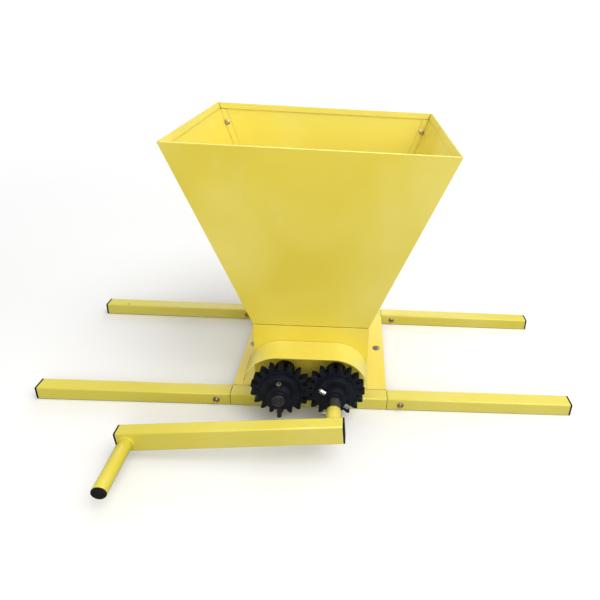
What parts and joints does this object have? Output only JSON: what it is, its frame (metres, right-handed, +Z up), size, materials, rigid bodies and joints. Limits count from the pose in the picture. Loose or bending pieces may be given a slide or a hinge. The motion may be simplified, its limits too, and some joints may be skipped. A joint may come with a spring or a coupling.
{
  "type": "hand-cranked grape crusher",
  "caption": "Hand-cranked fruit crusher: a flared hopper over geared rollers in a box on a tube frame with long side legs, a gear guard and a side crank.",
  "frame": {"origin": "on the ground, under the middle of the overall length, width and depth", "axes": "+X to the right along the legs seen from the crank side, +Y to the rear away from the crank, +Z up"},
  "size_m": [0.96, 0.505, 0.485],
  "materials": {
    "yellow_paint": "semi-gloss powder coat",
    "black_plastic": "moulded, matte",
    "bush_plastic": "moulded, satin",
    "gear_plastic": "moulded, satin",
    "roller_plastic": "moulded, matte",
    "zinc_fasteners": "yellowed zinc plate",
    "shaft_steel": "turned, dull",
    "pin_steel": "bright"
  },
  "bodies": {
    "frame": {"front_frame_tube": "yellow_paint", "rear_frame_tube": "yellow_paint", "leg_spigots": "shaft_steel", "front_left_leg": "yellow_paint", "front_right_leg": "yellow_paint", "rear_left_leg": "yellow_paint", "rear_right_leg": "yellow_paint", "leg_end_caps": "black_plastic", "leg_bolts": "zinc_fasteners", "leg_nuts": "zinc_fasteners", "front_bearing_plate": "yellow_paint", "rear_bearing_plate": "yellow_paint", "left_side_sheet": "yellow_paint", "right_side_sheet": "yellow_paint", "gear_guard": "yellow_paint", "front_bushes": "bush_plastic", "rear_bushes": "bush_plastic", "hopper_front_panel": "yellow_paint", "hopper_rear_panel": "yellow_paint", "hopper_left_panel": "yellow_paint", "hopper_right_panel": "yellow_paint", "hopper_bolts": "zinc_fasteners", "hopper_nuts": "zinc_fasteners"},
    "drive": {"drive_shaft": "shaft_steel", "drive_roller": "roller_plastic", "drive_roller_pins": "pin_steel", "drive_gear": "gear_plastic", "drive_gear_pin": "pin_steel", "drive_shaft_clip": "pin_steel", "crank_hub": "yellow_paint", "crank_pin": "pin_steel", "crank_arm": "yellow_paint", "crank_arm_caps": "black_plastic", "crank_grip": "yellow_paint", "grip_plug": "black_plastic"},
    "driven": {"driven_shaft": "shaft_steel", "driven_roller": "roller_plastic", "driven_roller_pins": "pin_steel", "driven_gear": "gear_plastic", "driven_gear_pin": "pin_steel", "driven_shaft_clip": "pin_steel"}
  },
  "joints": [
    {"name": "crank_turn", "type": "hinge", "parent": "frame", "child": "drive", "pos_m": [0.046, 0.096, 0.066], "axis": [0, 1, 0], "continuous": true},
    {"name": "driven_roller_turn", "type": "hinge", "parent": "frame", "child": "driven", "pos_m": [-0.046, 0.096, 0.066], "axis": [0, 1, 0], "continuous": true}
  ],
  "couplings": [
    {"joint": "driven_roller_turn", "follows": "crank_turn", "ratio": -1}
  ]
}
